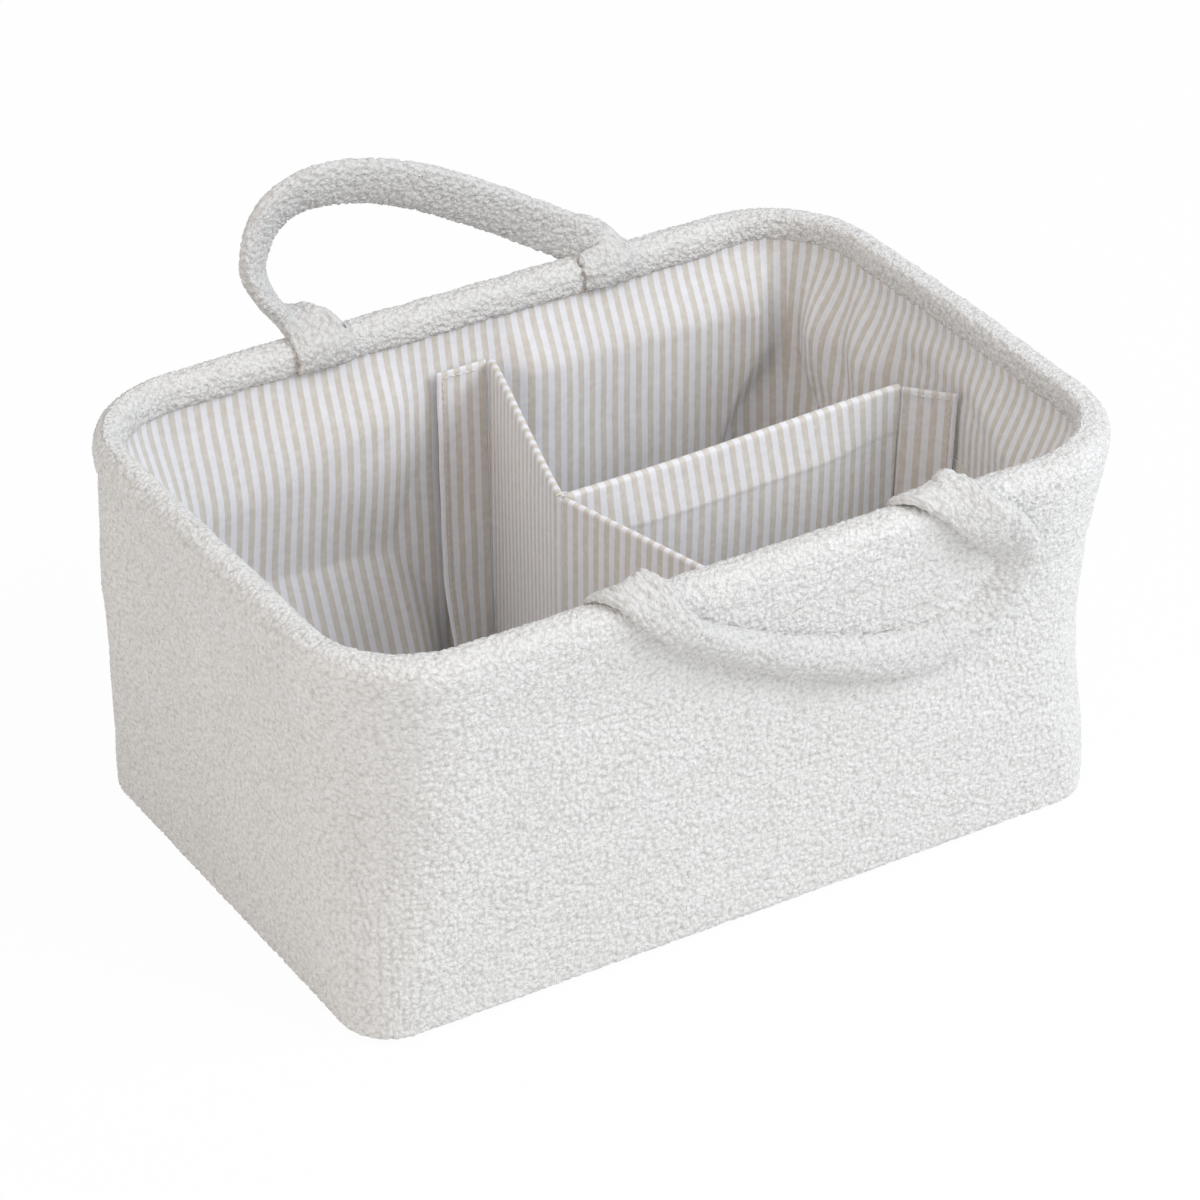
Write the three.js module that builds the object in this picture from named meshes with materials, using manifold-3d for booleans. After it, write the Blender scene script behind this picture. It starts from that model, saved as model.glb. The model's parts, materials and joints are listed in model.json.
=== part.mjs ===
// Fleece diaper caddy: a soft-sided box on stiff boards, with a wire-stiffened rolled rim, two
// padded strap handles and a lift-out divider of three panels sewn together at one spine.
// Millimetres, +Z up. The origin is the middle of the underside; the handles are on the two
// long sides, which face -Y (front) and +Y (back).
import * as THREE from 'three';
import { mergeVertices } from 'three/addons/utils/BufferGeometryUtils.js';
import Module from 'manifold-3d';

const wasm = await Module();
wasm.setup();

// Box, measured over the fleece
const rimLength = 380;
const rimWidth = 264;
const rimHeight = 182;
const rimCornerRadius = 46;
const baseLength = 359;
const baseWidth = 236;
const baseCornerRadius = 22;
const cornerBlendHeight = 95;
const bottomEdgeRadius = 3.2;

// Layers of the walls and the floor
const gap = 0.3;
const coverThickness = 3.7;
const boardThickness = 3.7;
const liningThickness = 0.7;
const baseBoardThickness = 3.5;

// Rim: a wire loop in a roll of fleece that reaches down over both faces of the wall
const rollRadius = 8;
const wireDiameter = 4;
const rimLegDrop = 10;
const rimLegToe = 1.8;
const wallTuck = 3.5;

// Lining: it hangs off the walls below the rim, and on the back wall of the left compartment it
// is slack below a creased line
const liningHang = 3;
const hangDrop = 16;
const creaseHeight = 62;
const slackDepth = 23;
const slackStart = 22;
const slackFull = 95;
const slackEnd = 138;

// Handles: flat padded straps whose ends are sewn over the rim
const handleShift = 6;
const handleSpacing = 142;
const strapWidth = 21;
const strapThickness = 8;
const strapSkin = 2;
const coreClearance = 0.6;
const tabWidth = 24;
const tabThickness = 4.5;
const tabEndAngle = 60;
const hingeRise = 3;
const strapClearance = 0.4;
const backLoopRise = 64;
const backLoopLean = 3.4;
const frontLoopDrop = 58;
const frontLoopTuck = 3.2;

// Divider: three panels on a spine, each with a flap at its far end
const spineX = -16;
const spineY = 4;
const spineRadius = 2.1;
const dividerHeight = 140;
const panelThickness = 3.4;
const panelSkin = 0.6;
const panelStart = 4.3;
const crossFoldX = 11;
const floorClearance = 0.4;
const flapWidth = 24;
const flapThickness = 1.2;
const flapFoldGap = 0.5;
const rightFlapAngle = 46.5;
const rightFlapWallGap = 3;
const tapeThickness = 0.7;
const tapeWidth = 16;
const tapeHeight = 100;
const tapeFoot = 8;

// Heights and half sizes that follow from the values above
const wireHeight = rimHeight - rollRadius;
const wireHalfLength = rimLength / 2 - rollRadius;
const wireHalfWidth = rimWidth / 2 - rollRadius;
const wallTop = wireHeight - wallTuck;
const boardInset = coverThickness + gap;
const liningInset = boardInset + boardThickness + gap;
const liningFace = liningInset + liningThickness;
const hungFace = liningFace + liningHang;
const hangTop = wireHeight - rimLegDrop;
const baseBoardFoot = coverThickness + gap;
const baseBoardTop = baseBoardFoot + baseBoardThickness;
const floorFoot = baseBoardTop + gap;
const floorTop = floorFoot + liningThickness;
const dividerFoot = floorTop + floorClearance;
const dividerTop = dividerFoot + dividerHeight;
const tapeLow = dividerFoot + tapeFoot;
const tapeHigh = tapeLow + tapeHeight;
const hingeReach = rollRadius + strapClearance + strapThickness / 2;
const hingeHeight = wireHeight + hingeRise;
const hingeY = wireHalfWidth + hingeReach;
const leftRootX = handleShift - handleSpacing / 2;
const rightRootX = handleShift + handleSpacing / 2;

const fleece = new THREE.MeshStandardMaterial({ color: 0xe9e6e1, roughness: 0.95, metalness: 0 });
const ticking = new THREE.MeshStandardMaterial({ color: 0xd9d2c8, roughness: 0.9, metalness: 0 });
const board = new THREE.MeshStandardMaterial({ color: 0xb9a88f, roughness: 0.85, metalness: 0 });
const wadding = new THREE.MeshStandardMaterial({ color: 0xf2f1ee, roughness: 1, metalness: 0 });
const steel = new THREE.MeshStandardMaterial({ color: 0x9a9da0, roughness: 0.35, metalness: 1 });
const tape = new THREE.MeshStandardMaterial({ color: 0xece8df, roughness: 0.9, metalness: 0 });

// Steps in half of a corner, shared by every layer so that their facets lie in line
const halfCornerSteps = 4;

const caddy = new THREE.Group();

function addPiece(name, geometry, material, parent = caddy) {
  const mesh = new THREE.Mesh(geometry, material);
  mesh.name = name;
  parent.add(mesh);
  return mesh;
}

// Six times the volume that a closed mesh holds, negative when its faces point in.
function signedVolume(positions, index) {
  const [a, b, c] = [new THREE.Vector3(), new THREE.Vector3(), new THREE.Vector3()];
  let volume = 0;
  for (let i = 0; i < index.length; i += 3) {
    a.fromArray(positions, 3 * index[i]);
    b.fromArray(positions, 3 * index[i + 1]);
    c.fromArray(positions, 3 * index[i + 2]);
    volume += a.dot(b.cross(c));
  }
  return volume;
}

// Triangles that close a flat ring of points, in the ring's own turning sense.
function capTriangles(ring) {
  const normal = new THREE.Vector3();
  ring.forEach((point, i) => {
    normal.add(new THREE.Vector3().crossVectors(point, ring[(i + 1) % ring.length]));
  });
  normal.normalize();
  const across = ring[1].clone().sub(ring[0]).normalize();
  const up = new THREE.Vector3().crossVectors(normal, across);
  const flat = ring.map((point) => new THREE.Vector2(point.dot(across), point.dot(up)));
  return THREE.ShapeUtils.triangulateShape(flat, []);
}

// Skins a solid over rings of matching points: a loft with capped ends, or a closed loop.
function skin(rings, closed = false) {
  const count = rings[0].length;
  const positions = rings.flat().flatMap((point) => point.toArray());
  const index = [];
  const spans = closed ? rings.length : rings.length - 1;
  for (let i = 0; i < spans; i++) {
    const next = ((i + 1) % rings.length) * count;
    for (let j = 0; j < count; j++) {
      const beside = (j + 1) % count;
      index.push(i * count + j, i * count + beside, next + beside);
      index.push(i * count + j, next + beside, next + j);
    }
  }
  if (!closed) {
    const last = (rings.length - 1) * count;
    for (const [p, q, r] of capTriangles(rings[0])) index.push(p, r, q);
    for (const [p, q, r] of capTriangles(rings[rings.length - 1])) index.push(last + p, last + q, last + r);
  }
  if (signedVolume(positions, index) < 0) index.reverse();
  const geometry = new THREE.BufferGeometry();
  geometry.setAttribute('position', new THREE.Float32BufferAttribute(positions, 3));
  geometry.setIndex(index);
  return geometry;
}

function toSolid(geometry) {
  const bare = geometry.clone();
  bare.deleteAttribute('normal');
  bare.deleteAttribute('uv');
  const merged = mergeVertices(bare);
  const vertProperties = new Float32Array(merged.attributes.position.array);
  const triVerts = new Uint32Array(merged.index.array);
  return new wasm.Manifold(new wasm.Mesh({ numProp: 3, vertProperties, triVerts }));
}

function cut(geometry, tool) {
  const mesh = toSolid(geometry).subtract(toSolid(tool)).getMesh();
  const result = new THREE.BufferGeometry();
  result.setAttribute('position', new THREE.BufferAttribute(mesh.vertProperties, 3));
  result.setIndex(new THREE.BufferAttribute(mesh.triVerts, 1));
  return result;
}

// Outer face of the box at height z: half length, half width and corner radius. The walls lean
// outwards to the rim, and the corners tighten from a wide sweep to the small base corner.
function wallOutline(z) {
  const rise = z / wallTop;
  const blend = THREE.MathUtils.smoothstep(z, 0, cornerBlendHeight);
  return {
    x: THREE.MathUtils.lerp(baseLength / 2, wireHalfLength + coverThickness, rise),
    y: THREE.MathUtils.lerp(baseWidth / 2, wireHalfWidth + coverThickness, rise),
    r: THREE.MathUtils.lerp(baseCornerRadius, rimCornerRadius + coverThickness, blend),
  };
}

// A point on one wall, in the front wall's place: x runs along the wall and -y is outwards. A
// station is a place on the wall: run is -1 to 1 along the straight, turn -1 to 1 into a corner.
function wallPoint(wall, station, inset, z) {
  const outline = wallOutline(z);
  const [along, out] = wall.long ? [outline.x, outline.y] : [outline.y, outline.x];
  const radius = outline.r - inset;
  const angle = station.turn * (Math.PI / 4 - gap / (2 * radius));
  const x = station.run * (along - outline.r) + radius * Math.sin(angle);
  const y = out - outline.r + radius * Math.cos(angle);
  return new THREE.Vector3(x, -y, z);
}

function wallStations(straightSteps) {
  const stations = [];
  for (let i = 0; i < halfCornerSteps; i++) stations.push({ turn: i / halfCornerSteps - 1, run: -1 });
  for (let i = 0; i <= straightSteps; i++) stations.push({ turn: 0, run: (2 * i) / straightSteps - 1 });
  for (let i = 1; i <= halfCornerSteps; i++) stations.push({ turn: i / halfCornerSteps, run: 1 });
  return stations;
}

// A layer of one wall between two insets from the outer face.
function wallLayer(wall, stations, heights, outerInset, innerInset) {
  const rings = stations.map((station) => {
    const outer = heights.map((z) => wallPoint(wall, station, outerInset(station, z), z));
    const inner = heights.map((z) => wallPoint(wall, station, innerInset(station, z), z));
    return [...outer, ...inner.reverse()];
  });
  return skin(rings);
}

function spread(low, high, steps) {
  return Array.from({ length: steps + 1 }, (_, i) => THREE.MathUtils.lerp(low, high, i / steps));
}

// The fleece panel of a wall, its lower edge rounded under to the base seam.
function coverPanel(wall) {
  const roundedInset = (station, z) => {
    const below = Math.max(0, bottomEdgeRadius - z);
    return bottomEdgeRadius - Math.sqrt(bottomEdgeRadius ** 2 - below ** 2);
  };
  const heights = [0, 0.4 * bottomEdgeRadius, ...spread(bottomEdgeRadius, wallTop, 7)];
  return wallLayer(wall, wallStations(2), heights, roundedInset, () => coverThickness);
}

// The stiffener fills the straight run of a wall and stops where its corners begin.
function wallBoard(wall) {
  const straights = [0, cornerBlendHeight, wallTop].map((z) => {
    const outline = wallOutline(z);
    return (wall.long ? outline.x : outline.y) - outline.r;
  });
  const width = 2 * Math.min(...straights);
  const rings = [-width / 2, width / 2].map((x) => {
    const at = (inset, z) => wallPoint(wall, { turn: 0, run: 0 }, inset, z).setX(x);
    const [face, back] = [boardInset, boardInset + boardThickness];
    return [at(face, floorFoot), at(face, wallTop), at(back, wallTop), at(back, floorFoot)];
  });
  return skin(rings);
}

// How far the back wall's cloth stands in under its crease.
function liningSlack(wall, x, z) {
  if (!wall.slack || z >= creaseHeight) return 0;
  const rise = THREE.MathUtils.smoothstep(x, slackStart, slackFull);
  const fall = 1 - THREE.MathUtils.smoothstep(x, slackFull, slackEnd);
  return slackDepth * rise * fall * (1 - z / creaseHeight);
}

function liningPanel(wall) {
  const stations = wallStations(wall.slack ? 12 : 2);
  const low = floorTop + gap;
  const hangFull = hangTop - hangDrop;
  const heights = [
    ...spread(low, creaseHeight, 2),
    ...spread(creaseHeight, hangFull, 2).slice(1),
    ...spread(hangFull, hangTop, 3).slice(1),
    wallTop,
  ];
  const insetBy = (base) => (station, z) => {
    const x = wallPoint(wall, station, 0, z).x;
    const hang = liningHang * (1 - THREE.MathUtils.smoothstep(z, hangFull, hangTop));
    return base + hang + (station.turn === 0 ? liningSlack(wall, x, z) : 0);
  };
  return wallLayer(wall, stations, heights, insetBy(liningInset), insetBy(liningFace));
}

const walls = [
  { name: 'front', long: true, slack: false },
  { name: 'right', long: false, slack: false },
  { name: 'back', long: true, slack: true },
  { name: 'left', long: false, slack: false },
];
walls.forEach((wall, quarter) => {
  const place = new THREE.Group();
  place.rotation.z = (quarter * Math.PI) / 2;
  caddy.add(place);
  addPiece(`${wall.name}_cover`, coverPanel(wall), fleece, place);
  addPiece(`${wall.name}_board`, wallBoard(wall), board, place);
  addPiece(`${wall.name}_lining`, liningPanel(wall), ticking, place);
});

// A flat rounded rectangle that follows the base outline at an inset.
function basePlate(inset, foot, thickness) {
  const outline = wallOutline(0);
  const [x, y, r] = [outline.x - inset, outline.y - inset, outline.r - inset];
  const shape = new THREE.Shape();
  shape.absarc(x - r, y - r, r, 0, Math.PI / 2);
  shape.absarc(r - x, y - r, r, Math.PI / 2, Math.PI);
  shape.absarc(r - x, r - y, r, Math.PI, 1.5 * Math.PI);
  shape.absarc(x - r, r - y, r, 1.5 * Math.PI, 2 * Math.PI);
  const settings = { depth: thickness, bevelEnabled: false, curveSegments: 6 };
  return new THREE.ExtrudeGeometry(shape, settings).translate(0, 0, foot);
}

addPiece('base_cover', basePlate(coverThickness + gap, 0, coverThickness), fleece);
addPiece('base_board', basePlate(boardInset, baseBoardFoot, baseBoardThickness), board);
addPiece('lining_floor', basePlate(liningFace + gap, floorFoot, liningThickness), ticking);

// Sweeps a section round the wire's rounded rectangle. A section point is [outwards, upwards]
// from the wire's centre line.
function rimSweep(section) {
  const cornerSteps = 2 * halfCornerSteps;
  const rings = [];
  for (let corner = 0; corner < 4; corner++) {
    const [sideX, sideY] = [[1, -1], [1, 1], [-1, 1], [-1, -1]][corner];
    for (let i = 0; i <= cornerSteps; i++) {
      const angle = ((corner - 1) * Math.PI) / 2 + ((i / cornerSteps) * Math.PI) / 2;
      const normal = new THREE.Vector3(Math.cos(angle), Math.sin(angle), 0);
      const centre = new THREE.Vector3(
        sideX * (wireHalfLength - rimCornerRadius),
        sideY * (wireHalfWidth - rimCornerRadius),
        wireHeight,
      );
      rings.push(section.map(([out, up]) => {
        const point = centre.clone().addScaledVector(normal, rimCornerRadius + out);
        return point.setZ(wireHeight + up);
      }));
    }
  }
  return skin(rings, true);
}

function arcPoints(radius, fromDegrees, toDegrees, steps) {
  return spread(fromDegrees, toDegrees, steps).map((degrees) => {
    const angle = THREE.MathUtils.degToRad(degrees);
    return [radius * Math.cos(angle), radius * Math.sin(angle)];
  });
}

addPiece('rim_wire', rimSweep(arcPoints(wireDiameter / 2, 0, 315, 7)), steel);

// The roll is an upturned U: round over the wire, with a leg on each face of the wall and a
// slot between them for the cover, the board and the lining.
function rimRoll() {
  const outerSlot = coverThickness + gap;
  const innerSlot = coverThickness - liningFace - gap;
  const lowerOutline = wallOutline(wireHeight - rimLegDrop);
  const lean = wireHalfWidth + coverThickness - lowerOutline.y;
  const slotTop = gap - wallTuck;
  return rimSweep([
    [outerSlot, -rimLegDrop],
    [outerSlot + rimLegToe, -rimLegDrop],
    ...arcPoints(rollRadius, -20, 200, 11),
    [innerSlot - lean - rimLegToe, -rimLegDrop],
    [innerSlot - lean, -rimLegDrop],
    [innerSlot, slotTop],
    ...arcPoints(wireDiameter / 2 + gap, 225, -45, 6),
    [outerSlot, slotTop],
  ]);
}
addPiece('rim_roll', rimRoll(), fleece);

// A strap end: it starts at the lining seam, lies over the roll and ends where the strap bends.
function strapTab() {
  const inner = rollRadius + gap;
  const outer = inner + tabThickness;
  const end = THREE.MathUtils.degToRad(tabEndAngle);
  const shape = new THREE.Shape();
  shape.moveTo(inner * Math.cos(end), inner * Math.sin(end));
  shape.lineTo(outer * Math.cos(end), outer * Math.sin(end));
  shape.absarc(0, 0, outer, end, Math.PI);
  shape.lineTo(-outer, -rimLegDrop);
  shape.lineTo(-inner, -rimLegDrop);
  shape.absarc(0, 0, inner, Math.PI, end, true);
  const tab = new THREE.ExtrudeGeometry(shape, { depth: tabWidth, bevelEnabled: false, curveSegments: 8 });
  tab.translate(0, 0, -tabWidth / 2);
  const outwards = new THREE.Vector3(0, 1, 0);
  const upwards = new THREE.Vector3(0, 0, 1);
  const sideways = new THREE.Vector3(1, 0, 0);
  return tab.applyMatrix4(new THREE.Matrix4().makeBasis(outwards, upwards, sideways));
}

for (const [side, facing] of [['back', 1], ['front', -1]]) {
  for (const [end, rootX] of [['left', leftRootX], ['right', rightRootX]]) {
    const mesh = addPiece(`${side}_${end}_tab`, strapTab(), fleece);
    mesh.position.set(rootX, facing * wireHalfWidth, wireHeight);
    mesh.rotation.z = facing > 0 ? 0 : Math.PI;
  }
}

// A flat padded section: a rectangle with full round edges.
function strapSection(width, thickness) {
  const fullness = 0.7;
  const swell = (value) => Math.sign(value) * Math.abs(value) ** fullness;
  return arcPoints(1, 0, 330, 11).map(([c, s]) => [(width / 2) * swell(c), (thickness / 2) * swell(s)]);
}

// Rings of a section carried along a strap's route. Each stop of the route is its place along
// the rim as a share of the handle's spacing, its shares of the loop's lean and rise from the
// hinge, and the strap's twist there; a twist of 0 keeps its width in the plane of the loop.
function strapRings(loop, section) {
  const points = loop.stops.map(([along, out, up]) => new THREE.Vector3(
    leftRootX + along * handleSpacing,
    loop.facing * (hingeY + out * loop.lean),
    hingeHeight + up * loop.rise,
  ));
  const route = new THREE.CatmullRomCurve3(points, false, 'centripetal');
  const stepsPerStop = 3;
  const steps = stepsPerStop * (points.length - 1);
  const plane = new THREE.Vector3(0, 1, 0);
  return spread(0, 1, steps).map((t, i) => {
    const stop = Math.min(Math.floor(i / stepsPerStop), points.length - 2);
    const share = THREE.MathUtils.smoothstep(i / stepsPerStop - stop, 0, 1);
    const degrees = THREE.MathUtils.lerp(loop.stops[stop][3], loop.stops[stop + 1][3], share);
    const twist = THREE.MathUtils.degToRad(degrees);
    const tangent = route.getTangent(t);
    const inPlane = new THREE.Vector3().crossVectors(plane, tangent).normalize();
    const offPlane = new THREE.Vector3().crossVectors(tangent, inPlane);
    const wide = inPlane.clone().multiplyScalar(Math.cos(twist)).addScaledVector(offPlane, Math.sin(twist));
    const thick = new THREE.Vector3().crossVectors(tangent, wide);
    const centre = route.getPoint(t);
    return section.map(([w, h]) => centre.clone().addScaledVector(wide, w).addScaledVector(thick, h));
  });
}

function addHandle(side, loop) {
  const hollowWidth = strapWidth - 2 * strapSkin;
  const hollowThickness = strapThickness - 2 * strapSkin;
  const outer = strapRings(loop, strapSection(strapWidth, strapThickness));
  const hollow = strapRings(loop, strapSection(hollowWidth, hollowThickness));
  const coreSection = strapSection(hollowWidth - 2 * coreClearance, hollowThickness - 2 * coreClearance);
  addPiece(`${side}_handle_cover`, skin([...outer, ...hollow.reverse()], true), fleece);
  addPiece(`${side}_handle_core`, skin(strapRings(loop, coreSection)), wadding);
}

// The back handle stands, slumped to the left; the front one has fallen over the front wall,
// slumped to the right.
addHandle('back', {
  facing: 1,
  lean: backLoopLean,
  rise: backLoopRise,
  stops: [
    [0, 0, 0, 0],
    [0, 0, 0.08, 5],
    [-0.06, 0.25, 0.25, 25],
    [-0.14, 0.65, 0.55, 65],
    [-0.1, 0.9, 0.86, 60],
    [0.04, 1, 1, 35],
    [0.22, 1, 0.95, 22],
    [0.42, 0.9, 0.8, 18],
    [0.62, 0.7, 0.58, 12],
    [0.82, 0.4, 0.36, 6],
    [0.93, 0.2, 0.25, 4],
    [0.99, 0, 0.11, 0],
    [1, 0, 0, 0],
  ],
});
addHandle('front', {
  facing: -1,
  lean: -frontLoopTuck,
  rise: -frontLoopDrop,
  stops: [
    [0, 0, 0, 0],
    [0.01, 0, 0.12, 0],
    [0.07, 0, 0.24, 5],
    [0.2, 0.15, 0.38, 10],
    [0.4, 0.45, 0.59, 15],
    [0.63, 0.8, 0.81, 15],
    [0.85, 1, 0.97, 15],
    [1.06, 1, 1, 12],
    [1.22, 0.9, 0.88, 10],
    [1.27, 0.65, 0.62, 10],
    [1.2, 0.3, 0.38, 8],
    [1.07, 0, 0.24, 5],
    [1.01, 0, 0.12, 0],
    [1, 0, 0, 0],
  ],
});

// A plate of the given thickness on both sides of four flat points.
function plate(corners, low, high) {
  const [p, q, r] = corners;
  const normal = new THREE.Vector3().crossVectors(q.clone().sub(p), r.clone().sub(p)).normalize();
  return skin([low, high].map((offset) => corners.map((c) => c.clone().addScaledVector(normal, offset))));
}

// The divider's panels. along runs from the spine to the far end and fold is the side that the
// flap folds to. The fold line stands clear of the panel's face by the folded flap's thickness.
const foldOffset = panelThickness / 2 + gap + flapThickness / 2;
const tapeStack = 2 * tapeThickness + 3 * gap;
const crossFoldInset = hungFace + tapeStack + flapThickness / 2;
const rightFlapReach = (flapWidth + flapFoldGap) * Math.cos(THREE.MathUtils.degToRad(rightFlapAngle));
const longFoldInset = hungFace + rightFlapWallGap + rightFlapReach;
const spine = new THREE.Vector3(spineX, spineY, 0);

function makePanel(name, target, foldSide, endCoordinate, wallAt) {
  const along = target.clone().sub(spine).setZ(0).normalize();
  const fold = new THREE.Vector3(-along.y, along.x, 0).multiplyScalar(foldSide);
  const reach = (z) => {
    return (wallAt(z) - spine[endCoordinate] - foldOffset * fold[endCoordinate]) / along[endCoordinate];
  };
  const foldLine = (z) => {
    return spine.clone().addScaledVector(along, reach(z)).addScaledVector(fold, foldOffset).setZ(z);
  };
  return { name, along, fold, reach, foldLine };
}

const backFoldY = (z) => wallOutline(z).y - crossFoldInset;
const frontFoldY = (z) => -backFoldY(z);
const rightFoldX = (z) => wallOutline(z).x - longFoldInset;
const crossEndX = crossFoldX + foldOffset;
const panels = [
  makePanel('back', new THREE.Vector3(crossEndX, backFoldY(dividerTop), 0), 1, 'y', backFoldY),
  makePanel('front', new THREE.Vector3(crossEndX, frontFoldY(dividerTop), 0), -1, 'y', frontFoldY),
  makePanel('long', new THREE.Vector3(rightFoldX(dividerTop), spineY, 0), -1, 'x', rightFoldX),
];

// A panel's body: a flat slab that is round at the spine and cut to the wall's lean at its far end.
function panelSlab(panel, half, start, setback, low, high) {
  const at = (s, n, z) => {
    return spine.clone().addScaledVector(panel.along, s).addScaledVector(panel.fold, n).setZ(z);
  };
  const ring = (sLow, sHigh, n) => {
    return [at(sLow, -n, low), at(sLow, n, low), at(sHigh, n, high), at(sHigh, -n, high)];
  };
  const nose = [80, 45, 0].map((degrees) => {
    const angle = THREE.MathUtils.degToRad(degrees);
    const s = start - half * Math.sin(angle);
    return ring(s, s, half * Math.cos(angle));
  });
  return skin([...nose, ring(panel.reach(low) - setback, panel.reach(high) - setback, half)]);
}

for (const panel of panels) {
  const half = panelThickness / 2;
  const sleeve = panelSlab(panel, half, panelStart, gap, dividerFoot, dividerTop);
  const hollowEnd = gap + panelSkin;
  const below = dividerFoot - panelThickness;
  const hollow = panelSlab(panel, half - panelSkin, panelStart, hollowEnd, below, dividerTop - panelSkin);
  addPiece(`${panel.name}_divider_cover`, cut(sleeve, hollow), ticking);
  const boardHalf = half - panelSkin - gap;
  const boardTop = dividerTop - panelSkin - gap;
  const slab = panelSlab(panel, boardHalf, panelStart, hollowEnd + gap, dividerFoot, boardTop);
  addPiece(`${panel.name}_divider_board`, slab, board);
}

const seam = new THREE.CylinderGeometry(spineRadius, spineRadius, dividerHeight, 12);
seam.rotateX(Math.PI / 2);
const seamMesh = addPiece('divider_seam', seam, ticking);
seamMesh.position.set(spineX, spineY, dividerFoot + dividerHeight / 2);

// A flap runs from its panel's fold line in the given direction, with hook tape on its wall side.
function addFlap(name, panel, direction, tapeSide) {
  const strip = (from, to, low, high) => [
    panel.foldLine(low).addScaledVector(direction, from),
    panel.foldLine(low).addScaledVector(direction, to),
    panel.foldLine(high).addScaledVector(direction, to),
    panel.foldLine(high).addScaledVector(direction, from),
  ];
  const flapEnd = flapFoldGap + flapWidth;
  const half = flapThickness / 2;
  const cloth = strip(flapFoldGap, flapEnd, dividerFoot, dividerTop);
  addPiece(`${name}_flap`, plate(cloth, -half, half), ticking);
  const margin = (flapWidth - tapeWidth) / 2;
  const hook = strip(flapFoldGap + margin, flapEnd - margin, tapeLow, tapeHigh);
  const tapeFace = tapeSide * (half + gap);
  addPiece(`${name}_hook_tape`, plate(hook, tapeFace, tapeFace + tapeSide * tapeThickness), tape);
}

const rightFlapTurn = -THREE.MathUtils.degToRad(rightFlapAngle);
const rightFlapDirection = new THREE.Vector3(Math.cos(rightFlapTurn), Math.sin(rightFlapTurn), 0);
addFlap('back', panels[0], new THREE.Vector3(-1, 0, 0), 1);
addFlap('front', panels[1], new THREE.Vector3(-1, 0, 0), -1);
addFlap('right', panels[2], rightFlapDirection, -1);

// Loop tape lies on the lining behind each flap, from one place along the wall to another.
function loopTape(wall, from, to) {
  const rings = [hungFace + gap, hungFace + gap + tapeThickness].map((inset) => {
    const at = (x, z) => wallPoint(wall, { turn: 0, run: 0 }, inset, z).setX(x);
    return [at(from, tapeLow), at(to, tapeLow), at(to, tapeHigh), at(from, tapeHigh)];
  });
  return skin(rings);
}

const crossTapeEnd = panels[0].foldLine(tapeLow).x - flapFoldGap - (flapWidth - tapeWidth) / 2;
const rightTapeEnd = panels[2].foldLine(tapeLow).y - rightFlapReach / 2;
addPiece('front_loop_tape', loopTape(walls[0], crossTapeEnd - tapeWidth, crossTapeEnd), tape);
addPiece('right_loop_tape', loopTape(walls[1], rightTapeEnd - tapeWidth, rightTapeEnd), tape)
  .rotation.z = Math.PI / 2;
addPiece('back_loop_tape', loopTape(walls[2], -crossTapeEnd, tapeWidth - crossTapeEnd), tape)
  .rotation.z = Math.PI;

export default caddy;
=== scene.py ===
"""A fleece diaper caddy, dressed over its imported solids.

Lengths are in millimetres until a mesh is made. +Z is up, the front faces -Y, and the origin is the
middle of the underside.
"""

import itertools
import json
import math

import bpy
import numpy as np
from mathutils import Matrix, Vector


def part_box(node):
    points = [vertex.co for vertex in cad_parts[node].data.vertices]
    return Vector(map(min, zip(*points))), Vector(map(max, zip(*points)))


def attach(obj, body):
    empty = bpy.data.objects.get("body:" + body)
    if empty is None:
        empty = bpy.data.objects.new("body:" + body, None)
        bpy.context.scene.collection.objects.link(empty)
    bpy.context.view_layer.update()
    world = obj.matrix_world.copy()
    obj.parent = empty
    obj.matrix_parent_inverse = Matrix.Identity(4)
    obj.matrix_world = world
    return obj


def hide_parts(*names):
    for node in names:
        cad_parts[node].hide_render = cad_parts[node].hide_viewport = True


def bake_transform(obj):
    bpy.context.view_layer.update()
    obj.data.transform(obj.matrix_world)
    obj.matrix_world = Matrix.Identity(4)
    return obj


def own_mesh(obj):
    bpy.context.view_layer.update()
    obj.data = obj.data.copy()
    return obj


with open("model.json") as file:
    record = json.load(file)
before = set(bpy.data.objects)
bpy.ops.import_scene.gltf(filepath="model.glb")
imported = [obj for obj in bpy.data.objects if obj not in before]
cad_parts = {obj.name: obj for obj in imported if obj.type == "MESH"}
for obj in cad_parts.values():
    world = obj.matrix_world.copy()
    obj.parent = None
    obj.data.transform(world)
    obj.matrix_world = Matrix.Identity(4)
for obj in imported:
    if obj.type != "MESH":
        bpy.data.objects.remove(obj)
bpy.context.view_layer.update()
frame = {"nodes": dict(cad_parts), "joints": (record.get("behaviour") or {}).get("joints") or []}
joints = {joint["name"]: joint for joint in frame["joints"]}

METRE = 0.001


def node_box(node):
    """Lowest and highest corner of a CAD node, in millimetres."""
    low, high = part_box(node)
    return np.array(low) / METRE, np.array(high) / METRE


def joint_place(name):
    return np.array(joints[name]["pos_m"]) / METRE


# Sizes of the box, from its solids
cover_thickness = 3.7
layer_gap = 0.3
wire_low, wire_high = node_box("rim_wire")
wire_radius = (wire_high[2] - wire_low[2]) / 2
wire_half = wire_high[:2] - wire_radius
wire_z = wire_high[2] - wire_radius
base_half = node_box("base_cover")[1][:2] + cover_thickness + layer_gap
wall_top = node_box("front_cover")[1][2]
floor_top = node_box("lining_floor")[1][2]
rim_corner = 46
base_corner = 22
corner_blend = 95
lining_face = 8.7

# Divider, from its joints and solids
spine = joint_place("front_divider_swing")[:2]
divider_foot = node_box("back_flap")[0][2]
divider_top = node_box("back_flap")[1][2]
panel_crease = divider_top - 21.5
fold_offset = 2.6
panel_half = 1.7
sleeve_thickness = 0.7
flap_width = 24
cloth_half = 0.62
right_flap_turn = math.radians(-46.5)

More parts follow.
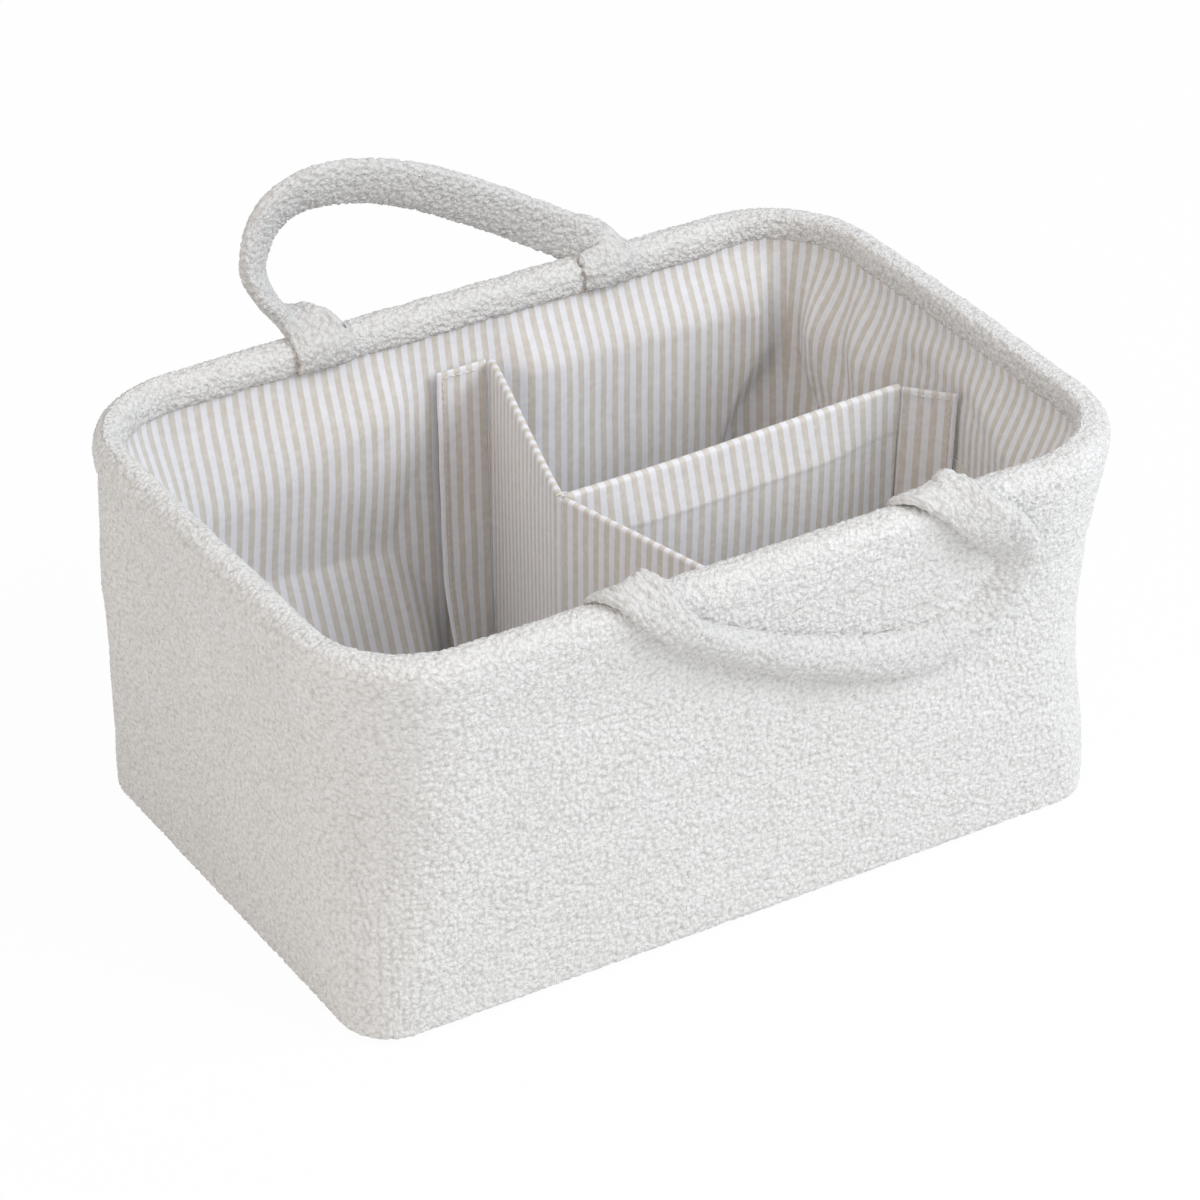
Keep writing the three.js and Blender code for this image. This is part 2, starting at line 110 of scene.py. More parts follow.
# Cloth and fleece
stripe_pitch = 6.05
cloth_start = 1000
fleece_step = 0.82
rim_step = 1.05
strap_step = 0.8
lining_step = 1.6
panel_step = 1.6
floor_step = 2.6
underside_step = 1.7
curl_size = 2.4
curl_depth = 1.5
pile_middle = 0.55
strap_pile_middle = 0.6

# Light
world_light = 0.6
floor_white = 0.96
window_power = 32
warm_wall_power = 11


# Scattered values, the same in each run


def smoothstep(value, low, high):
    t = np.clip((value - low) / (high - low), 0, 1)
    return t * t * (3 - 2 * t)


def scattered(cells, salt):
    """A value from 0 to 1 for each whole-number cell."""
    x, y, z = (cells[..., k].astype(np.int64).astype(np.uint32) for k in range(3))
    mixed = x * np.uint32(0x8DA6B343) ^ y * np.uint32(0xD8163841) ^ z * np.uint32(0xCB1AB31F)
    mixed = mixed ^ np.uint32(salt * 0x9E3779B1 & 0xFFFFFFFF)
    for shift, factor in ((15, 0x2C1B3C6D), (12, 0x297A2D39)):
        mixed = (mixed ^ (mixed >> np.uint32(shift))) * np.uint32(factor)
    mixed = mixed ^ (mixed >> np.uint32(15))
    return mixed.astype(np.float64) / 2**32


def swell(points, size, salt):
    """Smooth hills and hollows from -1 to 1, about as wide as size."""
    place = points / size
    cell = np.floor(place)
    share = place - cell
    share = share * share * (3 - 2 * share)
    total = np.zeros(points.shape[:-1])
    for corner in itertools.product((0, 1), repeat=3):
        weight = np.prod(np.where(np.array(corner), share, 1 - share), axis=-1)
        total += weight * scattered(cell + np.array(corner), salt)
    return 2 * total - 1


def nearest_curl(u, v, size, salt):
    """Distance to the nearest of the scattered curl centres, in shares of size."""
    place = np.stack([u / size, v / size, 0 * u], axis=-1)
    cell = np.floor(place)
    nearest = np.full(u.shape, 9.0)
    for step in itertools.product((-1, 0, 1), repeat=2):
        other = cell + np.array([*step, 0])
        distance = np.zeros(u.shape)
        for k in range(2):
            centre = other[..., k] + 0.1 + 0.8 * scattered(other, salt + k)
            distance += (place[..., k] - centre) ** 2
        nearest = np.minimum(nearest, distance)
    return np.sqrt(nearest)


def pile_height(u, v):
    """Height of the curled pile from 0, between the curls, to 1, on top of them. u and v are the
    place on the cloth."""
    place = np.stack([u, v, 0 * u], axis=-1)
    curls = 1 - smoothstep(nearest_curl(u, v, curl_size, 11), 0.1, 0.9)
    return 0.7 * curls + 0.15 + 0.15 * swell(place, 6, 12)


def fleece_marks(pile, u, v):
    return {"pile": pile, "spot": np.stack([u, v], axis=-1)}


# Meshes


def grid_quads(rows, columns, wrap_rows=False, wrap_columns=False):
    """Faces of a grid of points that are numbered row by row."""
    r = np.arange(rows if wrap_rows else rows - 1)
    c = np.arange(columns if wrap_columns else columns - 1)
    r, c = np.meshgrid(r, c, indexing="ij")
    right, above = (c + 1) % columns, (r + 1) % rows
    corners = [r * columns + c, r * columns + right, above * columns + right, above * columns + c]
    return np.stack(corners, axis=-1).reshape(-1, 4)


def grid_normals(points, wrap_rows=False, wrap_columns=False):
    """Unit normals of a grid: the row direction crossed with the column direction."""

    def along(axis, wrap):
        if wrap:
            return np.roll(points, -1, axis) - np.roll(points, 1, axis)
        return np.gradient(points, axis=axis)

    normals = np.cross(along(1, wrap_columns), along(0, wrap_rows))
    return normals / np.maximum(np.linalg.norm(normals, axis=-1, keepdims=True), 1e-9)


def flat_grid(half, step):
    """Places from -1 to 1 over a rectangle with those half sides, in even steps."""
    counts = [round(2 * h / step) for h in half]
    return np.meshgrid(*[np.linspace(-1, 1, n + 1) for n in counts], indexing="ij")


def add_mesh(name, points, faces, marks=None):
    """A smooth mesh of quads. marks are values on its points, for its material."""
    points = np.asarray(points, float).reshape(-1, 3)
    faces = np.asarray(faces)
    mesh = bpy.data.meshes.new(name)
    mesh.vertices.add(len(points))
    mesh.vertices.foreach_set("co", (points * METRE).astype(np.float32).ravel())
    mesh.loops.add(faces.size)
    mesh.loops.foreach_set("vertex_index", faces.astype(np.int32).ravel())
    mesh.polygons.add(len(faces))
    mesh.polygons.foreach_set("loop_start", np.arange(0, faces.size, faces.shape[1], dtype=np.int32))
    mesh.update(calc_edges=True)
    mesh.polygons.foreach_set("use_smooth", np.ones(len(faces), bool))
    for mark, values in (marks or {}).items():
        values = np.asarray(values, np.float32)
        if values.size == len(points):
            mesh.attributes.new(mark, "FLOAT", "POINT").data.foreach_set("value", values.ravel())
        else:
            spots = np.zeros((len(points), 3), np.float32)
            spots[:, :2] = values.reshape(-1, 2)
            mesh.attributes.new(mark, "FLOAT_VECTOR", "POINT").data.foreach_set("vector", spots.ravel())
    mesh.validate()
    piece = bpy.data.objects.new(name, mesh)
    bpy.context.scene.collection.objects.link(piece)
    return piece


def dress(piece, material, body=None, replaces=()):
    piece.data.materials.append(material)
    if body:
        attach(piece, body)
    if replaces:
        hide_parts(*replaces)
    return piece


def flowing(stops, step):
    """Points at even steps along a smooth line through stops, with any further values carried along."""
    stops = np.asarray(stops, float)
    ends = np.vstack([2 * stops[0] - stops[1], stops, 2 * stops[-1] - stops[-2]])
    t = np.linspace(0, 1, 24, endpoint=False)[:, None]
    spans = []
    for a, b, c, d in zip(ends, ends[1:], ends[2:], ends[3:]):
        spans.append(0.5 * (2 * b + (c - a) * t + (2 * a - 5 * b + 4 * c - d) * t**2
                            + (3 * b - a - 3 * c + d) * t**3))
    line = np.vstack([*spans, stops[-1:]])
    run = np.concatenate([[0], np.cumsum(np.linalg.norm(np.diff(line[:, :3], axis=0), axis=1))])
    even = np.linspace(0, run[-1], max(2, round(run[-1] / step) + 1))
    return np.stack([np.interp(even, run, line[:, k]) for k in range(line.shape[1])], axis=-1)


# Materials


class Shade:
    """A shader socket that Python's operators work on."""

    def __init__(self, tree, socket=None):
        self.tree = tree
        self.socket = socket

    def add(self, kind, settings=None, inputs=None, output=0):
        """Adds a node: its settings first, then the values or links of its inputs."""
        node = self.tree.nodes.new(kind)
        for key, value in (settings or {}).items():
            if key == "stops":
                ramp = node.color_ramp.elements
                while len(ramp) < len(value):
                    ramp.new(1)
                for element, (position, colour) in zip(ramp, value):
                    element.position = position
                    element.color = colour
            else:
                setattr(node, key, value)
        for key, value in (inputs or {}).items():
            if isinstance(value, Shade):
                self.tree.links.new(value.socket, node.inputs[key])
            else:
                node.inputs[key].default_value = value
        return Shade(self.tree, node.outputs[output])

    def maths(self, operation, *values):
        return self.add("ShaderNodeMath", {"operation": operation}, dict(enumerate(values)))

    def __add__(self, other):
        return self.maths("ADD", self, other)

    def __radd__(self, other):
        return self.maths("ADD", other, self)

    def __sub__(self, other):
        return self.maths("SUBTRACT", self, other)

    def __rsub__(self, other):
        return self.maths("SUBTRACT", other, self)

    def __mul__(self, other):
        return self.maths("MULTIPLY", self, other)

    def __rmul__(self, other):
        return self.maths("MULTIPLY", other, self)

    def __truediv__(self, other):
        return self.maths("DIVIDE", self, other)

    def __mod__(self, other):
        return self.maths("FLOORED_MODULO", self, other)

    def __abs__(self):
        return self.maths("ABSOLUTE", self)

    def ease(self, low, high):
        """0 below low, 1 above high, smooth between them."""
        settings = {"interpolation_type": "SMOOTHSTEP"}
        return self.add("ShaderNodeMapRange", settings, {0: self, 1: low, 2: high})

    def wave(self, pitch):
        """-1 to 1 in sine waves of that pitch."""
        return self.maths("SINE", self * (2 * math.pi / pitch))

    def colours(self, low, high):
        """A colour between two, by this value."""
        return self.add("ShaderNodeMix", {"data_type": "RGBA"}, {0: self, 6: low, 7: high}, 2)

    def mark(self, name):
        return self.add("ShaderNodeAttribute", {"attribute_name": name}, output="Fac")

    def cloth_place(self):
        """Place on the cloth in millimetres, across the stripes and along them."""
        place = self.add("ShaderNodeAttribute", {"attribute_name": "cloth"}, output="Vector")
        across = self.add("ShaderNodeSeparateXYZ", None, {0: place}, 0)
        along = self.add("ShaderNodeSeparateXYZ", None, {0: place}, 1)
        return across, along

    def place(self):
        return self.add("ShaderNodeTexCoord", output="Object")

    def noise(self, size, detail=2):
        inputs = {"Vector": self.place(), "Scale": 1 / (size * METRE), "Detail": detail}
        return self.add("ShaderNodeTexNoise", None, inputs, "Fac")

    def cells(self, size):
        inputs = {"Vector": self.place(), "Scale": 1 / (size * METRE)}
        return self.add("ShaderNodeTexVoronoi", None, inputs, "Distance")

    def curls(self, size):
        """1 on top of each curl of that size, 0 between them."""
        spot = self.add("ShaderNodeAttribute", {"attribute_name": "spot"}, output="Vector")
        wander = {"Vector": spot, "Scale": 0.35, "Detail": 1.0}
        shift = self.add("ShaderNodeTexNoise", None, wander, "Color")
        scaled = self.add("ShaderNodeVectorMath", {"operation": "SCALE"}, {0: shift, "Scale": 1.1})
        moved = self.add("ShaderNodeVectorMath", {"operation": "ADD"}, {0: spot, 1: scaled})
        inputs = {"Vector": moved, "Scale": 1 / size, "Randomness": 0.95, "Smoothness": 0.25}
        settings = {"voronoi_dimensions": "2D", "feature": "SMOOTH_F1"}
        return 1 - self.add("ShaderNodeTexVoronoi", settings, inputs, "Distance") * 1.15

    def seen_directly(self):
        """1 for rays that show the background itself: straight, in a gloss or through glass."""
        kinds = ("Is Camera Ray", "Is Glossy Ray", "Is Transmission Ray")
        straight, gloss, through = [self.add("ShaderNodeLightPath", output=kind) for kind in kinds]
        return self.maths("MAXIMUM", self.maths("MAXIMUM", straight, gloss), through)

    def bump(self, depth, strength=1.0):
        inputs = {"Height": self, "Distance": depth * METRE, "Strength": strength}
        return self.add("ShaderNodeBump", None, inputs)


def colour(red, green, blue):
    return (red, green, blue, 1)


def new_material(name, surface):
    """A material whose Principled inputs come from surface(shade)."""
    material = bpy.data.materials.new(name)
    material.use_nodes = True
    shader = material.node_tree.nodes["Principled BSDF"]
    for key, value in surface(Shade(material.node_tree)).items():
        if isinstance(value, Shade):
            material.node_tree.links.new(value.socket, shader.inputs[key])
        else:
            shader.inputs[key].default_value = value
    return material


def curly_fleece(shade, tone=1.0):
    pile = shade.mark("pile")
    curls = shade.curls(2.2)
    loops = shade.curls(1.1)
    patches = shade.noise(30).ease(0.35, 0.7)
    # The last tint is painted shade: the base colour darkens towards it where the pile and curls are low,
    # in the hollows between the curls.
    tints = (0.873, 0.87, 0.862), (0.898, 0.895, 0.89), (0.655, 0.64, 0.62)
    *tips, hollow_shade = [colour(*(tone * part for part in tint)) for tint in tints]
    height = pile * 0.2 + curls * 0.45 + loops * 0.2 + shade.noise(0.9, 3) * 0.5
    return {
        "Base Color": height.ease(0.3, 0.95).colours(hollow_shade, patches.colours(*tips)),
        "Roughness": 0.95,
        "Specular IOR Level": 0.12,
        "Sheen Weight": 0.2,
        "Sheen Roughness": 0.6,
        "Normal": (curls * 0.9 + loops * 0.4 + shade.noise(0.8, 3) * 0.7).bump(1.0, 0.75),
    }


def shaded_strap_fleece(shade):
    """The same fleece with darker tints: painted shade for the straps' shaded faces."""
    return curly_fleece(shade, 0.91)


def striped_ticking(shade):
    across, along = shade.cloth_place()
    place = abs((across / stripe_pitch) % 1 - 0.5)
    stripe = place.ease(0.225, 0.275)
    threads = across.wave(0.62) * 0.5 + along.wave(0.62) * 0.5
    twill = (across + along).wave(1.3)
    slub = shade.noise(3.2, 4).ease(0.3, 0.75)
    beige = slub.colours(colour(0.665, 0.62, 0.565), colour(0.745, 0.71, 0.665))
    white = slub.colours(colour(0.835, 0.84, 0.88), colour(0.89, 0.895, 0.93))
    return {
        "Base Color": (stripe + twill * stripe * -0.1).colours(white, beige),
        "Roughness": 0.88,
        "Specular IOR Level": 0.2,
        "Sheen Weight": 0.08,
        "Normal": (threads * 0.5 + twill * 0.25 + shade.noise(1.6) * 0.8).bump(0.16, 0.6),
    }


def spun_thread(shade, dark, light, roughness):
    strands = shade.noise(0.5, 2)
    return {
        "Base Color": strands.colours(dark, light),
        "Roughness": roughness,
        "Normal": strands.bump(0.1),
    }


def cotton_thread(shade):
    return spun_thread(shade, colour(0.74, 0.70, 0.65), colour(0.86, 0.84, 0.81), 0.7)


# Dark brown thread: partly the stitching's own colour, partly painted shade along the tabs' edges.
def dark_thread(shade):
    return spun_thread(shade, colour(0.40, 0.29, 0.22), colour(0.55, 0.43, 0.34), 0.75)


def grey_board(shade):
    fibres = shade.noise(1.2, 5)
    return {
        "Base Color": fibres.colours(colour(0.50, 0.42, 0.32), colour(0.66, 0.57, 0.45)),
        "Roughness": 0.9,
        "Normal": fibres.bump(0.12),
    }


def drawn_steel(shade):
    marks = shade.noise(0.9, 4)
    return {
        "Base Color": colour(0.60, 0.61, 0.62),
        "Metallic": 1.0,
        "Roughness": marks * 0.25 + 0.25,
        "Normal": marks.bump(0.03),
    }


def hook_and_loop(shade):
    hooks = shade.cells(0.9)
    return {
        "Base Color": hooks.colours(colour(0.87, 0.86, 0.82), colour(0.70, 0.67, 0.62)),
        "Roughness": 0.85,
        "Normal": (1 - hooks).bump(0.4),
    }


fleece = new_material("curly_fleece", curly_fleece)
# The straps get a darker copy of the fleece as painted shade.
shaded_fleece = new_material("shaded_strap_fleece", shaded_strap_fleece)
ticking = new_material("striped_ticking", striped_ticking)
thread = new_material("cotton_thread", cotton_thread)
brown_thread = new_material("brown_thread", dark_thread)
board = new_material("grey_board", grey_board)
steel = new_material("drawn_steel", drawn_steel)
tape = new_material("hook_and_loop", hook_and_loop)


# Walls


def outline(z):
    """Half length, half width and corner radius of the outer face at height z."""
    rise = z / wall_top
    blend = smoothstep(z, 0, corner_blend)
    half_x = base_half[0] + (wire_half[0] + cover_thickness - base_half[0]) * rise
    half_y = base_half[1] + (wire_half[1] + cover_thickness - base_half[1]) * rise
    return half_x, half_y, base_corner + (rim_corner + cover_thickness - base_corner) * blend


def stations(straight_steps, corner_steps):
    """Places along a wall: turn is -1 to 1 through its two half corners, run -1 to 1 between them."""
    corner = np.linspace(0, 1, corner_steps + 1)[1:]
    straight = np.linspace(-1, 1, straight_steps + 1)
    turn = np.concatenate([-corner[::-1], np.zeros(straight_steps + 1), corner])
    run = np.concatenate([-np.ones(corner_steps), straight, np.ones(corner_steps)])
    return turn, run


def turned(points, quarter):
    """Points of the front wall's place, carried round to the wall of that quarter."""
    c, s = [(1, 0), (0, 1), (-1, 0), (0, -1)][quarter]
    x, y = points[..., 0], points[..., 1]
    return np.stack([c * x - s * y, s * x + c * y, points[..., 2]], axis=-1)


def wall_points(quarter, turn, run, z, inset):
    """Points of a wall at an inset from its outer face, their outward directions, and the distance
    along the wall from its middle. z has one value a row."""
    z = np.asarray(z, float)[:, None] + 0 * turn
    half_x, half_y, radius = outline(z)
    along, out = (half_x, half_y) if quarter % 2 == 0 else (half_y, half_x)
    bend = turn * math.pi / 4
    reach = radius - inset
    x = run * (along - radius) + reach * np.sin(bend)
    y = radius - out - reach * np.cos(bend)
    outward = np.stack([np.sin(bend) + 0 * z, -np.cos(bend) + 0 * z, 0 * z], axis=-1)
    measure = run * (along - radius) + reach * bend
    return turned(np.stack([x, y, z], axis=-1), quarter), turned(outward, quarter), measure


# The walls, by how many quarter turns they lie from the front
FRONT, RIGHT, BACK = range(3)
wall_names = ("front", "right", "back", "left")


def near_back_left(points, reach):
    """1 at the back left corner, falling to 0 over about that reach."""
    distance = np.hypot(points[..., 0] + wire_half[0], points[..., 1] - wire_half[1])
    return np.exp(-((distance / reach) ** 2))


def full_corner(points):
    """How far the wadded back left corner stands out, most of all at half height."""
    z = points[..., 2]
    return 5.6 * near_back_left(points, 75) * smoothstep(z, 15, 85) * (1 - smoothstep(z, 105, 172))


def fleece_wall(quarter):
    """The outer fleece of one wall, curled under at its foot and tucked below the rim's roll."""
    name = wall_names[quarter]
    straight = 2 * (wire_half[quarter % 2] - rim_corner)
    turn, run = stations(round(straight / fleece_step), round(rim_corner * 0.86 / fleece_step))
    foot_radius = 4.6
    tuck = 7
    bend = np.linspace(0, math.pi / 2, 8)
    rows = round((wall_top - tuck - foot_radius) / fleece_step)
    rise = np.linspace(foot_radius, wall_top - tuck, rows)[1:]
    z = np.concatenate([foot_radius - (foot_radius - 0.9) * np.cos(bend), rise])
    inset = np.concatenate([foot_radius - foot_radius * np.sin(bend), 0 * rise])[:, None]
    points, outward, measure = wall_points(quarter, turn, run, z, inset)
    u = measure + cloth_start * quarter
    v = z[:, None] + 0 * measure
    seam = smoothstep(np.abs(measure).max(axis=1, keepdims=True) - np.abs(measure), 0.2, 2.6)
    pile = 0.5 + (pile_height(u, v) - 0.5) * seam
    soft = 1.1 * swell(points, 70, 31) + 0.5 * swell(points, 26, 32)
    soft = soft * smoothstep(points[..., 2], 5, 40) + full_corner(points)
    points = points + outward * ((pile - pile_middle) * curl_depth + soft)[..., None]
    faces = grid_quads(*pile.shape)
    piece = add_mesh(f"{name}_fleece", points, faces, fleece_marks(pile, u, v))
    return dress(piece, fleece, "box", [f"{name}_cover"])


def underside():
    """The fleece under the base."""
    half = base_half - cover_thickness
    u, v = flat_grid(half, underside_step)
    corner = 1 - 0.09 * (u * v) ** 6
    points = np.stack([u * half[0] * corner, v * half[1] * corner, 0 * u], axis=-1)
    pile = pile_height(points[..., 0], points[..., 1])
    points[..., 2] = 1.6 - 1.3 * pile
    marks = fleece_marks(pile, points[..., 0], points[..., 1])
    piece = add_mesh("base_fleece", points, grid_quads(*u.shape)[:, ::-1], marks)
    return dress(piece, fleece, "box", ["base_cover"])


def rim_loop(step):
    """Places round the wire: points and their outward directions."""
    points, outward = [], []
    for sign_x, sign_y, start in ((1, -1, -0.5), (1, 1, 0), (-1, 1, 0.5), (-1, -1, 1)):
        centre = np.array([*(wire_half - rim_corner) * (sign_x, sign_y), wire_z])
        steps = round(rim_corner * math.pi / 2 / step)
        bend = (start + 0.5 * np.arange(steps + 1) / steps) * math.pi
        normal = np.stack([np.cos(bend), np.sin(bend), 0 * bend], axis=-1)
        corner = centre + rim_corner * normal
        next_axis = 1 if start in (-0.5, 0.5) else 0
        next_length = 2 * (wire_half[next_axis] - rim_corner)
        straight = np.arange(1, round(next_length / step)) / round(next_length / step)
        tangent = np.array([-normal[-1][1], normal[-1][0], 0])
        points += [corner, corner[-1] + next_length * straight[:, None] * tangent]
        outward += [normal, np.repeat(normal[-1:], len(straight), axis=0)]
    return np.vstack(points), np.vstack(outward)


# The roll's section, outwards and upwards from the wire: from under the outer wall's fleece, over
# the wire and down to the lining seam
roll_section = [
    (-1.5, -46), (0.4, -43), (2.2, -38), (3.2, -31), (4.4, -23), (5.8, -16), (6.3, -12.5), (6.3, -10.5),
    (7.0, -8), (7.8, -3), (8.0, 1.2), (7.0, 4.7), (4.4, 7.1), (0.4, 7.9), (-3.4, 7.1), (-6.2, 4.9),
    (-7.3, 1.8), (-7.6, -1.4), (-7.2, -4.2), (-6.0, -5.6), (-4.0, -5.8),
]


def rim_roll():
    """The fleece that is turned over the wire."""
    centres, outward = rim_loop(rim_step)
    section = flowing([(out, up, 0) for out, up in roll_section], rim_step)[:, :2]
    up = np.array([0, 0, 1.0])
    points = centres[None] + section[:, :1, None] * outward[None] + section[:, 1:2, None] * up
    inside = smoothstep(-section[:, :1], 1, 6)
    narrow = smoothstep(centres[None, :, 0], 120, 165)
    points = points + (inside * narrow)[..., None] * (1.4 * outward + 2.2 * up)
    drawn_in = 3 * near_back_left(centres, 70) * smoothstep(section[:, :1], 0, 5)
    points = points - drawn_in[..., None] * outward[None]
    normals = grid_normals(points, wrap_columns=True)
    run = np.arange(len(centres))[None] * rim_step + 0 * section[:, :1]
    v = np.arange(len(section))[:, None] * rim_step + 0 * run
    pile = pile_height(run, v)
    sag = 0.9 * swell(points * np.array([1, 1, 0]), 90, 41)
    hem = 0.7 * swell(points, 9, 42) * smoothstep(-section[:, 1], 2, 8)[:, None] * (section[:, :1] < 0)
    points = points + normals * ((pile - pile_middle) * curl_depth)[..., None]
    points[..., 2] += sag + hem
    points, pile, v = (np.concatenate([part, part[:, :1]], axis=1) for part in (points, pile, v))
    run = np.concatenate([run, run[:, -1:] + rim_step], axis=1)
    piece = add_mesh("rim_fleece", points, grid_quads(*pile.shape), fleece_marks(pile, run, v))
    return dress(piece, fleece, "box", ["rim_roll"])


# Lining


def plateau(value, low, high, slope):
    """1 between low and high, falling to 0 over slope outside them."""
    return smoothstep(value, low - slope, low) * (1 - smoothstep(value, high, high + slope))


def slack(x, z):
    """How far the back wall's lining stands in below its crease, in the left compartment."""
    foot_slack = 24
    crease_tuck = 5.5
    crease = 73 - 0.05 * (x + 60)
    amount = smoothstep(-x, 2, 34) * (1 - smoothstep(-x, 110, 150))
    above = 1 - smoothstep(z, crease - 4, crease + 48)
    below = np.clip(1 - z / crease, 0, 1)
    return amount * (foot_slack * below - crease_tuck * above * np.clip(z / crease, 0, 1))


def loose_width(quarter, x, y, z):
    """How far the lining hangs off its wall, less where the divider's flaps lie and pass."""
    if quarter == BACK:
        return 10.5 - 7.5 * plateau(x, -19, 16, 20) + 3 * smoothstep(-x, 95, 140)
    if quarter == RIGHT:
        passing = 4.0 + 0.1 * np.clip(-16 - y, 0, 38) ** 1.15
        fold = 151 - 20 * np.clip((-18 - y) / 42, 0, 1)
        below = 1 - smoothstep(z, fold - 5, fold + 12)
        return 12 + (passing - 12) * plateau(y, -56, 26, 16) * below
    if quarter == FRONT:
        return 9.5 - 6.5 * plateau(x, -19, 44, 20)
    return 9.0


def corner_recess(distance, z):
    """1 in the narrow recess that runs down a corner seam and opens below like a tent, else 0."""
    half = 1.5 + 0.5 * np.clip(121 - z, 0, 75)
    return 1 - smoothstep(np.abs(distance), half, half + 15)


# How deep the recess is at the two ends of each wall's lining: front, right, back and left
recess_depths = ((0.45, 0.45), (1, 0.45), (0, 1), (0, 0))


def lining_hang(quarter):
    """Places of one wall of the lining: points of its flat place, their outward directions, distances
    along the wall, heights, and how far the cloth hangs in from there."""
    straight = 2 * (wire_half[quarter % 2] - rim_corner)
    turn, run = stations(round(straight / lining_step), round(40 / lining_step))
    z = np.linspace(floor_top + 0.2, wire_z - 0.5, round((wire_z - floor_top) / lining_step))
    rows = z[:, None] + 0 * turn
    flat, outward, measure = wall_points(quarter, turn, run, z, lining_face)
    x, y = flat[..., 0], flat[..., 1]
    edge = np.abs(measure).max(axis=1, keepdims=True)
    taper = (wire_half + cover_thickness - base_half)[1 - quarter % 2] / wall_top
    gradual = smoothstep(-x, 20, 120) if quarter == BACK else 0.25
    under_rim = 1 - smoothstep(rows, 139 - 25 * gradual, wall_top)
    width = loose_width(quarter, x, y, rows)
    for distance, depth in zip((measure - edge, measure + edge), recess_depths[quarter]):
        recess = corner_recess(distance, rows)
        beside = np.exp(-((np.abs(distance) - 20) / 10) ** 2) * plateau(rows, 124, 146, 34)
        width = width + depth * (5 * beside - (width - 2) * recess)
    drop = np.clip(167 - rows, 0, 40) ** 2 / 80 + np.clip(127 - rows, 0, None)
    inwards = width * under_rim - taper * drop
    waves = swell(np.stack([measure, rows * 0.22, 0 * rows + 50 * quarter], axis=-1), 24, 51)
    ripple = swell(np.stack([measure, rows * 0.6, 0 * rows + 50 * quarter], axis=-1), 13, 52)
    inwards = inwards + (1.3 * waves + 0.5 * ripple) * under_rim * smoothstep(width, 3.5, 9)
    if quarter == RIGHT:
        fold = np.sin((edge - measure) / 4.6 + rows / 16) * plateau(edge - measure, 22, 58, 16)
        inwards = inwards + 1.5 * fold * plateau(rows, 118, 150, 18)
    if quarter == BACK:
        inwards = inwards + slack(x, rows)
    return flat, outward, measure, rows, np.maximum(inwards, 0.3)


def lining_walls():
    """The striped lining's four walls, hung loose from the rim and sewn together at the corners."""
    hangs = [lining_hang(quarter) for quarter in range(4)]
    ease = 20
    for quarter, (flat, outward, measure, rows, own) in enumerate(hangs):
        name = wall_names[quarter]
        edge = np.abs(measure).max(axis=1, keepdims=True)
        before, after = hangs[quarter - 1][-1][:, -1:], hangs[(quarter + 1) % 4][-1][:, :1]
        inwards = own + (before - own[:, :1]) / 2 * (1 - smoothstep(edge + measure, 0, ease))
        inwards = inwards + (after - own[:, -1:]) / 2 * (1 - smoothstep(edge - measure, 0, ease))
        points = flat - outward * inwards[..., None]
        cloth = np.stack([measure + cloth_start, rows], axis=-1)
        faces = grid_quads(*rows.shape)[:, ::-1]
        piece = add_mesh(f"{name}_lining_cloth", points, faces, {"cloth": cloth})
        dress(piece, ticking, "box", [f"{name}_lining"])
        flat_size = (2 * float(edge.mean()) * METRE, float(rows[-1, 0] - rows[0, 0]) * METRE)


def lining_floor():
    """The striped floor, a rectangle with round corners that reaches the walls' lining."""
    half_x, half_y, radius = outline(floor_top)
    inset = lining_face + 0.2
    half = np.array([half_x, half_y]) - inset
    radius = radius - inset
    u, v = flat_grid(half, floor_step)
    square = np.stack([u, v], axis=-1) * half
    beyond = np.clip((np.abs(square) - half + radius) / radius, 0, 1)
    rounded = beyond * np.sqrt(1 - beyond[..., ::-1] ** 2 / 2)
    flat = np.sign(square) * (np.minimum(np.abs(square), half - radius) + radius * rounded)
    points = np.concatenate([flat, 0 * flat[..., :1]], axis=-1)
    points[..., 2] = floor_top - 0.15 + 0.12 * swell(points, 34, 61)
    piece = add_mesh("floor_cloth", points, grid_quads(*u.shape), {"cloth": flat + cloth_start})
    dress(piece, ticking, "box", ["lining_floor"])
    return piece


# Handles

solid_tab_half = 12
left_root = node_box("back_left_tab")[0][0] + solid_tab_half
right_root = node_box("back_right_tab")[1][0] - solid_tab_half
tab_width = 26
tab_thickness = 4.8
lip_thickness = 7.6
lip_width = 20.5
strap_width = 22
strap_thickness = 8.6
round_thickness = 14
tab_reach = 12
strap_sides = 64
closing_rings = 4

# A strap end's route, outwards and upwards from the wire: from the lining seam to the top of the roll
tab_route = [(-5.4, -6.2), (-7.2, -3.8), (-8.2, 0.3), (-6.9, 5.4), (-3.0, 8.9)]

